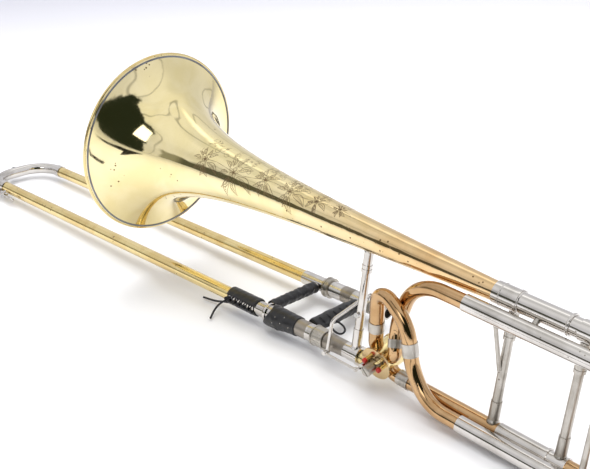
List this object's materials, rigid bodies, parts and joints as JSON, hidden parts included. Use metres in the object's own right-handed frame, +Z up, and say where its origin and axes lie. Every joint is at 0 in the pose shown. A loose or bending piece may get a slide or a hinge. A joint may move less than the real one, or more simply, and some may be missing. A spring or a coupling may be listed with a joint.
{
  "type": "trombone",
  "caption": "Large-bore tenor trombone with a rotary-valve F attachment, flared bell, closed hand slide, tuning slides and a laced leather grip.",
  "frame": {"origin": "middle of the underside of the instrument's box, without its loose laces", "axes": "+X along the instrument towards the player, +Y from the bell-side slide tube to the mouthpiece-side slide tube, +Z up"},
  "size_m": [1.1158, 0.216, 0.2757],
  "materials": {
    "yellow_brass": "lacquered, polished",
    "rose_brass": "lacquered, polished",
    "bright_nickel": "polished nickel silver",
    "dull_nickel": "satin nickel silver",
    "black_leather": "smooth black leather",
    "red_rubber": "red bumper rubber",
    "black_rubber": "black bumper rubber",
    "cork": "cork",
    "black_lace": "black lace",
    "steel": "steel screw"
  },
  "bodies": {
    "bell_section": {"bell": "yellow_brass", "bell_rim_wire": "yellow_brass", "bell_tail_ferrule": "bright_nickel", "bell_tuning_outer_tube": "bright_nickel", "gooseneck": "rose_brass", "gooseneck_outer_tube": "bright_nickel", "tube_ferrules": "dull_nickel", "slide_receiver": "bright_nickel", "receiver_knuckle": "yellow_brass", "bell_brace": "bright_nickel", "section_screws": "steel", "tuning_tube_brace": "dull_nickel", "f_tube_stays": "dull_nickel", "valve_casing": "yellow_brass", "valve_front_plate": "yellow_brass", "valve_back_cap": "yellow_brass", "valve_back_bearing": "yellow_brass", "valve_stop_plate": "yellow_brass", "valve_stop_bumpers": "red_rubber", "f_loop_tube": "rose_brass", "f_crook_tube": "rose_brass", "f_outer_tubes": "bright_nickel", "lever_hinge": "bright_nickel", "inner_tubes": "bright_nickel", "barrel_bell_side": "bright_nickel", "barrel_mouthpiece_side": "bright_nickel", "barrel_bumpers": "black_rubber", "inner_brace": "bright_nickel", "inner_brace_wrap": "black_leather", "barrel_sleeve": "black_leather", "slide_tenon": "bright_nickel", "mouthpiece_receiver": "dull_nickel", "leadpipe": "yellow_brass", "grip_loop": "black_lace"},
    "main_tuning_slide": {"tuning_slide_legs": "bright_nickel", "tuning_crook": "rose_brass", "tuning_crook_ferrules": "bright_nickel", "tuning_slide_brace": "dull_nickel"},
    "f_tuning_slide": {"f_slide_legs": "bright_nickel", "f_bow": "rose_brass", "f_bow_ferrules": "bright_nickel", "f_slide_brace": "dull_nickel"},
    "thumb_lever_body": {"thumb_lever": "bright_nickel"},
    "link_body": {"link_rod": "bright_nickel"},
    "rotor_body": {"valve_rotor": "yellow_brass", "valve_stop_arm": "dull_nickel", "valve_stop_arm_screw": "steel"},
    "lock_nut_body": {"lock_nut": "dull_nickel"},
    "outer_slide": {"outer_tubes": "yellow_brass", "outer_slide_ferrules": "bright_nickel", "outer_brace": "bright_nickel", "outer_brace_wrap": "black_leather", "slide_leather": "black_leather", "bow": "bright_nickel", "bow_fittings": "bright_nickel", "bow_bumper_tip": "black_rubber", "lace_end_long": "black_lace", "lace_end_short": "black_lace"},
    "water_key_body": {"water_key": "bright_nickel", "water_key_cork": "cork"}
  },
  "joints": [
    {"name": "hand_slide", "type": "slide", "parent": "bell_section", "child": "outer_slide", "axis": [-1, 0, -0.0086], "range_m": [0, 0.53]},
    {"name": "main_tuning", "type": "slide", "parent": "bell_section", "child": "main_tuning_slide", "axis": [0.999, -0.0045, -0.0454], "range_m": [0, 0.035]},
    {"name": "f_tuning", "type": "slide", "parent": "bell_section", "child": "f_tuning_slide", "axis": [0.999, -0.0045, -0.0454], "range_m": [0, 0.075]},
    {"name": "thumb_lever_hinge", "type": "hinge", "parent": "bell_section", "child": "thumb_lever_body", "pos_m": [0.20062, 0.00099, 0.08111], "axis": [-0.0007, -0.9966, 0.0828], "range_deg": [0, 12.2], "stiffness_Nm_per_rad": 0.35, "springref_deg": -14.32},
    {"name": "link_pivot", "type": "hinge", "parent": "thumb_lever_body", "child": "link_body", "pos_m": [0.17162, -0.02767, 0.01852], "axis": [-0.0007, -0.9966, 0.0828], "range_deg": [-16, 0]},
    {"name": "rotor_turn", "type": "hinge", "parent": "bell_section", "child": "rotor_body", "pos_m": [0.23539, -0.01152, 0.03234], "axis": [-0.014, -0.9772, -0.2119], "range_deg": [0, 90]},
    {"name": "lock_nut_turn", "type": "hinge", "parent": "bell_section", "child": "lock_nut_body", "pos_m": [0.14784, -0.01243, 0.02065], "axis": [1, 0, 0.0086], "continuous": true},
    {"name": "water_key_hinge", "type": "hinge", "parent": "outer_slide", "child": "water_key_body", "pos_m": [-0.48209, -0.02412, 0.01006], "axis": [-0.0078, -0.4067, 0.9135], "range_deg": [0, 9], "stiffness_Nm_per_rad": 0.4, "springref_deg": -17.19}
  ],
  "couplings": [
    {"joint": "rotor_turn", "follows": "thumb_lever_hinge", "ratio": 7.377},
    {"joint": "link_pivot", "follows": "thumb_lever_hinge", "ratio": -1.17}
  ]
}
